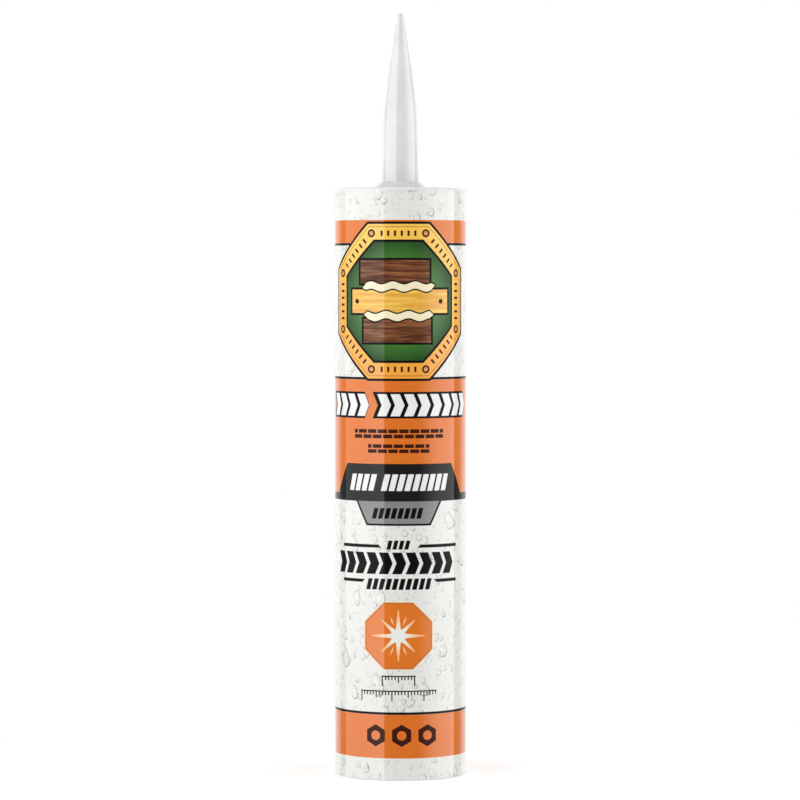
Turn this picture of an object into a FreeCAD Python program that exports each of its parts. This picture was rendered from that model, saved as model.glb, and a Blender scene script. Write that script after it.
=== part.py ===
"""A screw-nozzle adhesive cartridge for a skeleton gun, standing on its open rear rim.

Millimetres. The origin is the centre of the rear rim, and +Z runs up the axis to the nozzle.
Six pieces: barrel (tube, shoulder and neck in one moulding), printed label sleeve, foil seal,
piston, adhesive fill and screw-on nozzle.
"""
import FreeCAD
import Part
import os

# Barrel: one polyethylene moulding, open at the rear, with a flat shoulder and a neck in front.
barrel_r = 24.4
barrel_wall = 1.5
barrel_length = 218.0
shoulder_thickness = 2.4
shoulder_edge_r = 1.0
corner_r = 1.5
rear_lead_in = 0.6
rear_edge_r = 0.4

# Neck: a hollow stub on the shoulder that carries the nozzle's thread.
neck_r = 5.3
neck_bore_r = 3.5
neck_height = 12.5
neck_mouth_chamfer = 0.4
seat_depth = 0.4
seat_margin = 0.7

# Label: a printed film sleeve round the barrel.
label_thickness = 0.1
label_rear_gap = 0.4

# Foil seal welded across the neck's mouth.
seal_thickness = 0.15

# Piston: a cup pushed in from the rear, open towards the gun's push plate.
piston_depth = 39.5
piston_length = 15.0
piston_front_wall = 1.6
piston_skirt_wall = 1.3
piston_edge_chamfer = 2.2
lip_reach = 0.9
front_lip_height = 1.2
rear_lip_height = 1.8
lip_slope_height = 1.4
hub_r = 6.5
hub_wall = 1.3
rib_count = 8
rib_thickness = 1.2
rib_depth = 6.0

# Nozzle: a long tapered spout with a flared collar and a closed tip that is cut open for use.
collar_width = 2.95
collar_edge_height = 0.75
collar_slope_in = 2.6
collar_slope_height = 2.3
collar_recess_depth = 1.2
collar_recess_wall = 1.1
socket_wall = 1.2
shank_length = 28.2
shank_taper = 0.6
cone_length = 35.1
cone_belly = 0.33
tip_r = 1.25
tip_round_r = 1.1
tip_stub_length = 1.0
channel_seat_width = 0.8
channel_taper = 0.25
channel_tip_r = 0.6
channel_tip_wall = 1.4

# Clearances between pieces.
piston_running_gap = 0.05
fill_gap = 0.3
end_gap = 0.3
neck_clearance = 0.35
seal_gap = 0.3

# Places that follow from the sizes above.
bore_r = barrel_r - barrel_wall
shoulder_inside_z = barrel_length - shoulder_thickness
seat_z = barrel_length - seat_depth
neck_mouth_z = barrel_length + neck_height
piston_front_z = piston_depth + piston_length
piston_travel = shoulder_inside_z - piston_front_z - end_gap
nozzle_base_r = neck_r + neck_clearance + socket_wall
collar_r = nozzle_base_r + collar_width


def at(r, z):
    """A point of an outline in the XZ half plane."""
    return FreeCAD.Vector(r, 0, z)


def line(start, end):
    return Part.LineSegment(start, end).toShape()


def arc(start, middle, end):
    return Part.Arc(start, middle, end).toShape()


def chain(*points):
    """Straight edges from each point to the next."""
    return [line(a, b) for a, b in zip(points, points[1:])]


def quarter(start, end, centre):
    """A quarter round between two points that lie the same distance from the centre."""
    outward = (start - centre) + (end - centre)
    outward.normalize()
    middle = centre + outward * (start - centre).Length
    return [arc(start, middle, end)]


def bowed(start, end, belly):
    """A shallow arc whose middle stands out from its chord, away from the axis."""
    chord = end - start
    outward = FreeCAD.Vector(chord.z, 0, -chord.x)
    if outward.x < 0:
        outward = outward * -1
    outward.normalize()
    return [arc(start, (start + end) * 0.5 + outward * belly, end)]


def turned(*edge_lists):
    """Revolve a closed outline about the Z axis into a solid."""
    edges = [edge for edges in edge_lists for edge in edges]
    face = Part.Face(Part.Wire(edges))
    solid = face.revolve(FreeCAD.Vector(0, 0, 0), FreeCAD.Vector(0, 0, 1), 360)
    if solid.Volume < 0:
        solid.reverse()
    return solid


def disc(r, z_low, z_high):
    return Part.makeCylinder(r, z_high - z_low, FreeCAD.Vector(0, 0, z_low))


def cavity():
    """The whole space inside the barrel: rear lead-in, bore, rounded corner and neck bore."""
    corner_z = shoulder_inside_z - corner_r
    corner_centre = at(bore_r - corner_r, corner_z)
    return turned(
        chain(
            at(0, neck_mouth_z),
            at(0, 0),
            at(bore_r + rear_lead_in, 0),
            at(bore_r, rear_lead_in * 2),
            at(bore_r, corner_z),
        ),
        quarter(at(bore_r, corner_z), at(bore_r - corner_r, shoulder_inside_z), corner_centre),
        chain(
            at(bore_r - corner_r, shoulder_inside_z),
            at(neck_bore_r, shoulder_inside_z),
            at(neck_bore_r, neck_mouth_z),
            at(0, neck_mouth_z),
        ),
    )


def barrel():
    """Tube, shoulder and neck. A shallow seat round the neck takes the nozzle's collar."""
    rear_edge = at(barrel_r - rear_edge_r, rear_edge_r)
    front_edge = at(barrel_r - shoulder_edge_r, barrel_length - shoulder_edge_r)
    seat_r = collar_r + seat_margin
    outside = turned(
        chain(at(0, neck_mouth_z), at(0, 0), at(rear_edge.x, 0)),
        quarter(at(rear_edge.x, 0), at(barrel_r, rear_edge.z), rear_edge),
        chain(at(barrel_r, rear_edge.z), at(barrel_r, front_edge.z)),
        quarter(at(barrel_r, front_edge.z), at(front_edge.x, barrel_length), front_edge),
        chain(
            at(front_edge.x, barrel_length),
            at(seat_r, barrel_length),
            at(seat_r - seat_depth, seat_z),
            at(neck_r, seat_z),
            at(neck_r, neck_mouth_z - neck_mouth_chamfer),
            at(neck_r - neck_mouth_chamfer, neck_mouth_z),
            at(0, neck_mouth_z),
        ),
    )
    return outside.cut(cavity())


def label():
    """Film sleeve from just above the rear rim to where the shoulder's edge starts to round."""
    front_z = barrel_length - shoulder_edge_r
    sleeve = disc(barrel_r + label_thickness, label_rear_gap, front_z)
    return sleeve.cut(disc(barrel_r, label_rear_gap, front_z))


def neck_seal():
    """Foil disc on the flat of the neck's mouth."""
    return disc(neck_r - neck_mouth_chamfer, neck_mouth_z, neck_mouth_z + seal_thickness)


def piston_outline(gap):
    """Front face, chamfered edge and front lip, grown outwards by a gap along the axis."""
    lip_r = bore_r - piston_running_gap
    front = piston_front_z + gap
    return [
        at(0, front),
        at(lip_r - piston_edge_chamfer, front),
        at(lip_r, front - piston_edge_chamfer),
    ]


def piston():
    """A cup with a wiping lip at each end and a ribbed hub behind its front wall."""
    lip_r = bore_r - piston_running_gap
    skirt_r = lip_r - lip_reach
    hollow_r = skirt_r - piston_skirt_wall
    front_lip_z = piston_front_z - piston_edge_chamfer - front_lip_height
    rear_lip_z = piston_depth + rear_lip_height
    wall_back_z = piston_front_z - piston_front_wall
    hollow_corner = at(hollow_r - corner_r, wall_back_z - corner_r)
    cup = turned(
        chain(
            *piston_outline(0),
            at(lip_r, front_lip_z),
            at(skirt_r, front_lip_z - lip_reach),
            at(skirt_r, rear_lip_z + lip_slope_height),
            at(lip_r, rear_lip_z),
            at(lip_r, piston_depth),
            at(hollow_r, piston_depth),
            at(hollow_r, hollow_corner.z),
        ),
        quarter(at(hollow_r, hollow_corner.z), at(hollow_corner.x, wall_back_z), hollow_corner),
        chain(at(hollow_corner.x, wall_back_z), at(0, wall_back_z), at(0, piston_front_z)),
    )
    rib_back_z = wall_back_z - rib_depth
    hub = disc(hub_r, rib_back_z, piston_front_z)
    pieces = [hub]
    for index in range(rib_count):
        rib = Part.makeBox(
            skirt_r - hub_r,
            rib_thickness,
            piston_front_z - rib_back_z,
            FreeCAD.Vector(hub_r - hub_wall / 2, -rib_thickness / 2, rib_back_z),
        )
        rib.rotate(FreeCAD.Vector(0, 0, 0), FreeCAD.Vector(0, 0, 1), 360 * index / rib_count)
        pieces.append(rib)
    inside = disc(hollow_r + piston_skirt_wall / 2, rib_back_z, wall_back_z + piston_front_wall / 2)
    ribs = pieces[0].fuse(pieces[1:]).common(inside)
    return cup.fuse(ribs).cut(disc(hub_r - hub_wall, rib_back_z, wall_back_z)).removeSplitter()


def adhesive():
    """Everything between the piston's front and the seal, shaped by the barrel's own cavity."""
    front, shelf, lip = piston_outline(fill_gap)
    below = turned(
        chain(
            front,
            shelf,
            lip,
            at(barrel_r, lip.z),
            at(barrel_r, -end_gap),
            at(0, -end_gap),
            front,
        ),
    )
    return cavity().cut(below)


def nozzle():
    """Collar, threaded socket, straight shank and bellied cone down to a closed round tip."""
    collar_edge_z = seat_z + collar_edge_height
    collar_top_z = collar_edge_z + collar_slope_height
    shank_top = at(nozzle_base_r - shank_taper, seat_z + shank_length)
    tip_base = at(tip_r, shank_top.z + cone_length)
    tip_centre = at(0, tip_base.z + tip_stub_length)
    tip_shoulder = at(tip_round_r, tip_centre.z)
    tip_end = at(0, tip_centre.z + tip_round_r)
    outside = turned(
        chain(
            tip_end,
            at(0, seat_z),
            at(collar_r, seat_z),
            at(collar_r, collar_edge_z),
            at(collar_r - collar_slope_in, collar_top_z),
            at(nozzle_base_r, collar_top_z),
            shank_top,
        ),
        bowed(shank_top, tip_base, cone_belly),
        chain(tip_base, tip_shoulder),
        quarter(tip_shoulder, tip_end, tip_centre),
    )
    socket_r = neck_r + neck_clearance
    socket_top_z = neck_mouth_z + seal_thickness + seal_gap
    channel_r = socket_r - channel_seat_width
    channel_break = at(channel_r - channel_taper, shank_top.z)
    channel_tip = at(channel_tip_r, tip_base.z - channel_tip_wall)
    inside = turned(
        chain(
            at(0, channel_tip.z),
            at(0, seat_z),
            at(socket_r, seat_z),
            at(socket_r, socket_top_z),
            at(channel_r, socket_top_z),
            channel_break,
        ),
        bowed(channel_break, channel_tip, cone_belly),
        chain(channel_tip, at(0, channel_tip.z)),
    )
    recess = disc(collar_r - collar_recess_wall, seat_z, seat_z + collar_recess_depth)
    recess = recess.cut(disc(nozzle_base_r, seat_z, seat_z + collar_recess_depth))
    return outside.cut(inside).cut(recess)


nodes = {
    "barrel": barrel(),
    "label": label(),
    "neck_seal": neck_seal(),
    "piston": piston(),
    "adhesive": adhesive(),
    "nozzle": nozzle(),
}

os.makedirs("parts", exist_ok=True)
for name, shape in nodes.items():
    if len(shape.Solids) != 1 or not shape.isValid():
        raise RuntimeError(name + " is not one valid solid")
    shape.Solids[0].exportStep("parts/" + name + ".step")
    low = shape.BoundBox
    print(name, round(shape.Volume), "mm3, z", round(low.ZMin, 2), "to", round(low.ZMax, 2))
print("piston travel", round(piston_travel, 2), "mm")
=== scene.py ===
# %% [markdown]
# A construction adhesive cartridge, one finish at a time
#
# The object is a plastic tube with a printed film sleeve, a long tapered nozzle, a foil seal and a
# piston behind the paste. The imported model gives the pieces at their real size. This lesson gives
# them their looks: it keeps the pieces whose shape is right and only paints them, and it remakes
# the few that need finer form, such as the film with its lap seam.

# %% Load the frame
import math
import bmesh
import bpy
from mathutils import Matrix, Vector


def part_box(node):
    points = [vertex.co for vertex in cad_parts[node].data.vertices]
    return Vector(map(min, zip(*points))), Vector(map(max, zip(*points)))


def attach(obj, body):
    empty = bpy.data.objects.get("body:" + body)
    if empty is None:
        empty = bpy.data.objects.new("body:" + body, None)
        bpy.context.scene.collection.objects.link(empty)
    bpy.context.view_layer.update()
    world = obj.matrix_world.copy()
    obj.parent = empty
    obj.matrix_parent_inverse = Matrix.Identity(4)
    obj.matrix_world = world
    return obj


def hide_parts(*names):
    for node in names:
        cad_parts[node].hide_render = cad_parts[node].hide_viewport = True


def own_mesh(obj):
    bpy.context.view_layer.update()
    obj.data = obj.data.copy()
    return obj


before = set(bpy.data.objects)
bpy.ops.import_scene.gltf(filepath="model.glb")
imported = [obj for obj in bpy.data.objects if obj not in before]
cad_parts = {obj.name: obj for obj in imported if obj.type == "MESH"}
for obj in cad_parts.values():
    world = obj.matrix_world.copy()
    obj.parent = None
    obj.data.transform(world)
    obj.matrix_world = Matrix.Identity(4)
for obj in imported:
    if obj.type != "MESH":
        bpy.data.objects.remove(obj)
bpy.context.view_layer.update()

# %% [markdown]
# Sizes
#
# Every place comes from the frame, so the looks follow the model if it changes. Metres are the
# scene's unit, and MM turns a size that a maker would give in millimetres into metres.

# %% Sizes from the frame
MM = 0.001
film_low, film_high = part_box("label")
nozzle_low, nozzle_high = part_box("nozzle")
paste_low, paste_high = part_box("adhesive")
seal_low, seal_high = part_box("neck_seal")
piston_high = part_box("piston")[1]
film_r = film_high[0]
barrel_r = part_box("barrel")[1][0]
print("film radius", round(film_r / MM, 2), "mm, barrel radius", round(barrel_r / MM, 2), "mm")

# %% [markdown]
# Studio lights
#
# The cartridge stands on white, between two tall softboxes. They leave a dark gap round the camera
# and another behind the tube, and those gaps are what draw the long stripes down its gloss. On a
# round tube a box that covers a span of azimuths shows in half that span of the wall, so a box is
# given by its azimuths and its brightness, and its width and power follow. Each box is very tall
# and reaches far below the floor's level, so that its stripe runs from rim to rim when the tube is
# seen from above too. A tall box also gives its light at a low brightness, which keeps the stripes
# from bleaching the print.

# %% Lights
BOX_DISTANCE = 0.62
BOX_FOOT = -0.34
BOX_HEAD = 1.00


def softbox(name, inner, outer, radiance):
    """A tall area light that faces the axis and covers two azimuths, counted from the front."""
    spread = math.radians(abs(outer - inner) / 2)
    data = bpy.data.lights.new(name, "AREA")
    data.shape = "RECTANGLE"
    data.size = 2 * BOX_DISTANCE * math.tan(spread)
    data.size_y = BOX_HEAD - BOX_FOOT
    data.energy = radiance * math.pi * data.size * data.size_y
    box = bpy.data.objects.new(name, data)
    angle = math.radians((inner + outer) / 2)
    toward = Vector((math.sin(angle), -math.cos(angle), 0))
    box.location = toward * BOX_DISTANCE + Vector((0, 0, (BOX_HEAD + BOX_FOOT) / 2))
    box.rotation_mode = "QUATERNION"
    box.rotation_quaternion = toward.to_track_quat("Z", "Y")
    box.visible_camera = False
    bpy.context.scene.collection.objects.link(box)
    print(name, "is", round(data.size, 2), "m wide and gives", round(data.energy, 2), "W")
    return box


left_box = softbox("left_softbox", inner=-28, outer=-110, radiance=1.83)
right_box = softbox("right_softbox", inner=18, outer=107, radiance=1.64)

# %% [markdown]
# Uneven boxes
#
# An even box ends its stripe with a hard edge. Real boxes are brighter in their middle, and a light
# can have nodes as a surface can, so a ramp across the box makes it uneven. The left one falls to
# half its brightness towards its outer edge, and the right one climbs from nothing at its inner
# edge, which lets the dark stripe down the tube end softly on that side.


# %% Uneven boxes
def soften(box, first, last, least):
    """Lets a softbox climb to full strength from one edge, between two shares of its width."""
    box.data.use_nodes = True
    tree = box.data.node_tree
    place = tree.nodes.new("ShaderNodeNewGeometry")
    apart = tree.nodes.new("ShaderNodeSeparateXYZ")
    ramp = tree.nodes.new("ShaderNodeMapRange")
    ramp.interpolation_type = "SMOOTHSTEP"
    ramp.inputs["From Min"].default_value = first
    ramp.inputs["From Max"].default_value = last
    ramp.inputs["To Min"].default_value = least
    tree.links.new(place.outputs["Parametric"], apart.inputs[0])
    tree.links.new(apart.outputs[0], ramp.inputs["Value"])
    tree.links.new(ramp.outputs[0], tree.nodes["Emission"].inputs["Strength"])


soften(left_box, first=0.0, last=1.0, least=0.5)
soften(right_box, first=0.15, last=0.60, least=0.0)
print("both boxes climb to full strength from one edge")

# %% [markdown]
# World
#
# The room is dark in front, white behind and far below, and pale overhead, as where a white sweep
# hangs at the back of the set. The dark part keeps the gaps between the stripes dark, the white
# behind brightens both rims of the tube, the pale part above lights the collar's slope, and the
# white below shows the recess at the rear. The camera sees plain white wherever it looks past the
# object.

# %% World
ROOM_LEVEL = 0.38
SWEEP_LEVEL = 1.0
OVERHEAD_LEVEL = 0.5
world = bpy.data.worlds.new("studio")
bpy.context.scene.world = world
world.use_nodes = True
sky = world.node_tree
sky.nodes.clear()


def rises(source, low, high, top=SWEEP_LEVEL):
    """A smooth step along one axis of the world, from the room's level up to a higher one."""
    step = sky.nodes.new("ShaderNodeMapRange")
    step.interpolation_type = "SMOOTHSTEP"
    step.inputs["From Min"].default_value = low
    step.inputs["From Max"].default_value = high
    step.inputs["To Min"].default_value = ROOM_LEVEL
    step.inputs["To Max"].default_value = top
    sky.links.new(source, step.inputs["Value"])
    return step.outputs[0]


def brightest(one, other):
    """The higher of two levels."""
    level = sky.nodes.new("ShaderNodeMath")
    level.operation = "MAXIMUM"
    sky.links.new(one, level.inputs[0])
    sky.links.new(other, level.inputs[1])
    return level.outputs[0]


print("world helpers ready")

# %% [markdown]
# The room and the backdrop
#
# The direction of a ray says which part of the room it meets. Light Path tells the camera's own
# rays from the others, so the background can be plain white and give no more light than it should.

# %% Room and backdrop
output = sky.nodes.new("ShaderNodeOutputWorld")
seen = sky.nodes.new("ShaderNodeLightPath")
direction = sky.nodes.new("ShaderNodeTexCoord")
apart = sky.nodes.new("ShaderNodeSeparateXYZ")
room = sky.nodes.new("ShaderNodeBackground")
backdrop = sky.nodes.new("ShaderNodeBackground")
choose = sky.nodes.new("ShaderNodeMixShader")
room.inputs["Color"].default_value = (1, 1, 1, 1)
backdrop.inputs["Color"].default_value = (1, 1, 1, 1)
sky.links.new(direction.outputs["Generated"], apart.inputs[0])
behind = rises(apart.outputs["Y"], low=0.56, high=0.76)
above = rises(apart.outputs["Z"], low=0.35, high=0.75, top=OVERHEAD_LEVEL)
below = rises(apart.outputs["Z"], low=-0.72, high=-0.90)
sky.links.new(brightest(brightest(behind, above), below), room.inputs["Strength"])
sky.links.new(seen.outputs["Is Camera Ray"], choose.inputs[0])
sky.links.new(room.outputs[0], choose.inputs[1])
sky.links.new(backdrop.outputs[0], choose.inputs[2])
sky.links.new(choose.outputs[0], output.inputs["Surface"])
print("room level", ROOM_LEVEL, "in front,", SWEEP_LEVEL, "behind and", OVERHEAD_LEVEL, "overhead")

# %% [markdown]
# Floor
#
# A round floor is enough: it takes the contact shadow, and past its edge the white world carries
# on. The cartridge is open at its rear, where the piston shows. The rim hides a round hole in the
# floor, which lets light from below into the recess, so the underside can be looked at too.

# %% Floor
FLOOR_RADIUS = 0.30
RIM_COVER = 1.2 * MM
hole_r = barrel_r - RIM_COVER
floor_mesh = bpy.data.meshes.new("floor")
floor_bm = bmesh.new()
bmesh.ops.create_circle(floor_bm, cap_ends=True, segments=128, radius=FLOOR_RADIUS)
ring_width = FLOOR_RADIUS - hole_r
bmesh.ops.inset_region(floor_bm, faces=floor_bm.faces, thickness=ring_width, use_boundary=True)
lid = max(floor_bm.faces, key=lambda face: len(face.verts))
bmesh.ops.delete(floor_bm, geom=[lid], context="FACES")
floor_bm.to_mesh(floor_mesh)
floor_bm.free()
floor = bpy.data.objects.new("floor", floor_mesh)
bpy.context.scene.collection.objects.link(floor)
print("floor radius", FLOOR_RADIUS, "m, open to", round(hole_r / MM, 1), "mm under the barrel")

# %% [markdown]
# Camera
#
# A long lens from across the room keeps the tube's sides parallel, and the camera stands a little
# above the middle of the tube, so it looks down by about two degrees.

# %% Camera
CAMERA_ASIDE = -0.17 * MM
CAMERA_AWAY = 1.389
CAMERA_HEIGHT = 0.1837
AIM_HEIGHT = 0.1393
camera_data = bpy.data.cameras.new("camera")
camera_data.lens = 167.8
camera_data.sensor_width = 36
camera_data.clip_start = 0.05
camera_data.clip_end = 30
camera = bpy.data.objects.new("camera", camera_data)
camera.location = (CAMERA_ASIDE, -CAMERA_AWAY, CAMERA_HEIGHT)
aim = Vector((CAMERA_ASIDE, 0, AIM_HEIGHT)) - camera.location
camera.rotation_mode = "QUATERNION"
camera.rotation_quaternion = aim.to_track_quat("-Z", "Y")
bpy.context.scene.collection.objects.link(camera)
bpy.context.scene.camera = camera
bpy.context.scene.view_settings.view_transform = "Standard"
print("camera looks down by", round(math.degrees(math.atan2(-aim.z, aim.y)), 2), "degrees")

# %% [markdown]
# A short way to write shader maths
#
# A print is many small areas, and each is a sum of distances. Written as single nodes, that is
# hundreds of lines. So one class wraps a socket and lets Python's operators add the Math nodes,
# and one class holds a material and adds any other node.


# %% Wires
class Wire:
    """A number that varies over a surface: an output socket with arithmetic."""

    def __init__(self, finish, socket):
        self.finish = finish
        self.socket = socket

    def math(self, operation, *others, clamp=False, first=None):
        """One Math node on this number and the others."""
        settings = {"operation": operation, "use_clamp": clamp}
        values = [self if first is None else first] + list(others)
        return self.finish.node("ShaderNodeMath", settings, dict(enumerate(values)))

    def __add__(self, other):
        return self.math("ADD", other)

    def __sub__(self, other):
        return self.math("SUBTRACT", other)

    def __mul__(self, other):
        return self.math("MULTIPLY", other)

    def __truediv__(self, other):
        return self.math("DIVIDE", other)

    def __rsub__(self, other):
        return self.math("SUBTRACT", self, first=other)

    __radd__ = __add__
    __rmul__ = __mul__

    def size(self):
        """The number without its sign."""
        return self.math("ABSOLUTE")

    def most(self, other):
        """The higher of two numbers."""
        return self.math("MAXIMUM", other)

    def held(self):
        """The same number, kept between 0 and 1."""
        return self.math("ADD", 0.0, clamp=True)


print("numbers over a surface can be added, multiplied and compared")

# %% [markdown]
# One class for a finish
#
# Every finish here is a Principled shader with some nodes in front of it. The class makes the
# shader, sets what is the same all over on its own sockets, and has short forms for the nodes that
# come up often: a mix of two colours, a noise, a place on the piece, and a bump.


# %% Finishes
class Finish:
    """A material with a Principled shader, and a short way to add nodes."""

    def __init__(self, name, **constants):
        self.material = bpy.data.materials.new(name)
        self.material.use_nodes = True
        self.tree = self.material.node_tree
        self.tree.nodes.clear()
        self.shader = self.tree.nodes.new("ShaderNodeBsdfPrincipled")
        self.output = self.tree.nodes.new("ShaderNodeOutputMaterial")
        self.tree.links.new(self.shader.outputs[0], self.output.inputs["Surface"])
        for socket, value in constants.items():
            self.shader.inputs[socket.replace("_", " ")].default_value = value

    def node(self, kind, settings=None, inputs=None, output=0):
        """Any node: its settings first, then values or links for its sockets."""
        made = self.tree.nodes.new(kind)
        for key, value in (settings or {}).items():
            setattr(made, key, value)
        for key, value in (inputs or {}).items():
            socket = made.inputs[key]
            if isinstance(value, Wire):
                self.tree.links.new(value.socket, socket)
            else:
                socket.default_value = value
        return Wire(self, made.outputs[output])

    def outputs(self, wire, *names):
        """More outputs of the node that a wire came from."""
        found = wire.socket.node.outputs
        return [Wire(self, found[name]) for name in names]

    def mix(self, factor, under, over):
        """One colour over another where the factor is 1."""
        settings = {"data_type": "RGBA"}
        return self.node("ShaderNodeMix", settings, {0: factor, 6: under, 7: over}, output=2)

    def join(self, x, y):
        """Two coordinates as one vector."""
        return self.node("ShaderNodeCombineXYZ", None, {0: x, 1: y})

    def length(self, x, y):
        """How far a point lies from the origin of two coordinates."""
        settings = {"operation": "LENGTH"}
        return self.node("ShaderNodeVectorMath", settings, {0: self.join(x, y)}, output="Value")

    def place(self):
        """Object coordinates in millimetres, as one vector and three numbers."""
        where = self.node("ShaderNodeTexCoord", output="Object")
        settings = {"operation": "SCALE"}
        vector = self.node("ShaderNodeVectorMath", settings, {0: where, "Scale": 1 / MM})
        apart = self.node("ShaderNodeSeparateXYZ", None, {0: vector})
        return [vector] + self.outputs(apart, "X", "Y", "Z")

    def noise(self, vector, scale, detail=2.0, roughness=0.5):
        """A soft random pattern, about 0.5 on average."""
        inputs = {"Vector": vector, "Scale": scale, "Detail": detail, "Roughness": roughness}
        return self.node("ShaderNodeTexNoise", None, inputs)

    def bump(self, height, distance, strength):
        """Feeds the shader's normal from a height, with the distance in metres."""
        inputs = {"Height": height, "Distance": distance, "Strength": strength}
        self.feed("Normal", self.node("ShaderNodeBump", None, inputs))

    def feed(self, socket, wire):
        """Links a number or a colour to one of the shader's sockets."""
        self.tree.links.new(wire.socket, self.shader.inputs[socket])


print("finish class ready")

# %% [markdown]
# Colours
#
# A maker names a colour as a screen shows it. Shaders work with linear light, so one function
# turns the one into the other.


# %% Colours
def srgb(red, green, blue):
    """A colour as a screen shows it, 0 to 255, turned into the linear values that shaders use."""
    linear = [
        v / 12.92 if v <= 0.04045 else ((v + 0.055) / 1.055) ** 2.4
        for v in (red / 255, green / 255, blue / 255)
    ]
    return (*linear, 1.0)


print("middle grey is", round(srgb(128, 128, 128)[0], 3), "in linear light")

# %% [markdown]
# The floor's finish
#
# A white sweep, lit a little short of white, would show as grey. For the camera alone it gets some
# emission, which lifts it to white and leaves the soft contact shadow under the rim. Towards its
# edge it fades to pure white, and so meets the world without a line. Glossy rays pass through it,
# because its mirror image near the rim would cut the tube's stripes short. Its back is clear, so
# that it hides nothing from below.

# %% Floor finish
GLOW_NEAR = 0.26
FADE_START = 50.0
FADE_LENGTH = 130.0
floor_finish = Finish("white_sweep", Roughness=0.9)
floor_place, floor_x, floor_y = floor_finish.place()[:3]
floor_grain = floor_finish.noise(floor_place, 0.02)
floor_tone = floor_finish.mix(floor_grain, srgb(246, 246, 246), srgb(250, 250, 250))
floor_finish.feed("Base Color", floor_tone)
ray_kind = floor_finish.node("ShaderNodeLightPath", output="Is Camera Ray")
glossy_ray = floor_finish.outputs(ray_kind, "Is Glossy Ray")[0]
from_below = floor_finish.node("ShaderNodeNewGeometry", output="Backfacing")
floor_far = ((floor_finish.length(floor_x, floor_y) - FADE_START) / FADE_LENGTH).held()
floor_glow = floor_finish.node("ShaderNodeEmission", None, {"Strength": GLOW_NEAR})
floor_white = floor_finish.node("ShaderNodeEmission", None, {"Strength": 1.0})
floor_open = floor_finish.node("ShaderNodeBsdfTransparent")
floor_matte = Wire(floor_finish, floor_finish.shader.outputs[0])


def shader_mix(factor, under, over):
    """The first of the floor's shaders where the factor is 0, and the other where it is 1."""
    return floor_finish.node("ShaderNodeMixShader", None, {0: factor, 1: under, 2: over})


floor_lit = floor_finish.node("ShaderNodeAddShader", None, {0: floor_matte, 1: floor_glow})
floor_seen = shader_mix(floor_far, floor_lit, floor_white)
floor_pick = shader_mix(ray_kind, floor_matte, floor_seen)
floor_last = shader_mix(glossy_ray.most(from_below), floor_pick, floor_open)
floor_finish.tree.links.new(floor_last.socket, floor_finish.output.inputs["Surface"])
floor.data.materials.append(floor_finish.material)
print("floor wears", floor_finish.material.name)

# %% [markdown]
# From a bmesh to a piece
#
# Every new piece goes the same way from its bmesh to the scene: it is shaded smooth, takes its
# finish, and rides on a body of the frame. Where a corner is meant to
# be hard, smoothing by angle keeps it so.


# %% From a bmesh to a piece
def finished(name, bm, body, finish):
    """Turns a bmesh into a smooth object that rides on a body and wears a finish."""
    mesh = bpy.data.meshes.new(name)
    for face in bm.faces:
        face.smooth = True
    bm.to_mesh(mesh)
    bm.free()
    piece = bpy.data.objects.new(name, mesh)
    bpy.context.scene.collection.objects.link(piece)
    mesh.materials.append(finish.material)
    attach(piece, body)
    print(name, "has", len(mesh.polygons), "faces and rides on", body)
    return piece


def sharpened(piece, degrees=35):
    """Keeps hard corners hard on a smooth piece."""
    chosen = {"object": piece, "active_object": piece, "selected_editable_objects": [piece]}
    with bpy.context.temp_override(**chosen):
        bpy.ops.object.shade_smooth_by_angle(angle=math.radians(degrees))


print("pieces can be finished")

# %% [markdown]
# Turned shapes
#
# The nozzle, the seal and the paste are turned shapes, so each starts as one open line of vertices
# in the XZ plane, and the spin operator carries it round the axis. Doubles on the axis are merged,
# and only then are the normals set to point outwards. An outline's corners are rounded where it
# says so, because a moulded edge is never quite sharp.


# %% Turned shapes
def line_of(bm, points):
    """A chain of edges through points given as (radius, height) in metres."""
    verts = [bm.verts.new((r, 0, z)) for r, z in points]
    return verts + [bm.edges.new(pair) for pair in zip(verts, verts[1:])]


def spun(points, steps):
    """A closed turned shape from an outline that starts and ends on the axis."""
    bm = bmesh.new()
    bmesh.ops.spin(
        bm,
        geom=line_of(bm, points),
        cent=(0, 0, 0),
        axis=(0, 0, 1),
        angle=math.tau,
        steps=steps,
        use_merge=True,
    )
    bmesh.ops.remove_doubles(bm, verts=bm.verts, dist=1e-6)
    bmesh.ops.recalc_face_normals(bm, faces=bm.faces)
    return bm


def rounded(points, steps=5):
    """An outline whose marked corners are rounded. A corner is (radius, height, fillet)."""
    result = []
    for index, point in enumerate(points):
        if len(point) == 2:
            result.append(point)
            continue
        corner = Vector(point[:2])
        before = (Vector(points[index - 1][:2]) - corner).normalized()
        after = (Vector(points[index + 1][:2]) - corner).normalized()
        half = before.angle(after) / 2
        reach = point[2] / math.tan(half)
        centre = corner + (before + after).normalized() * (point[2] / math.sin(half))
        start = corner + before * reach - centre
        end = corner + after * reach - centre
        for step in range(steps + 1):
            result.append(tuple(centre + start.slerp(end, step / steps) * point[2]))
    return result


print("outlines can be rounded and spun")

# %% [markdown]
# The film as a flat sheet
#
# A sleeve of film is printed flat and then rolled round the tube, so it is made the same way here.
# A grid is one sheet, a little longer than the way round, and Solidify gives it its thickness.

# %% Film sheet
LAP = 3.8 * MM
FILM_GAUGE = 0.05 * MM
EASE = 2.2 * MM
FILM_STEPS = 300
FILM_ROWS = 30
film_bottom = film_low[2]
film_top = film_high[2]
film_height = film_top - film_bottom
way_round = math.tau * film_r
sheet_length = way_round + LAP


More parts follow.
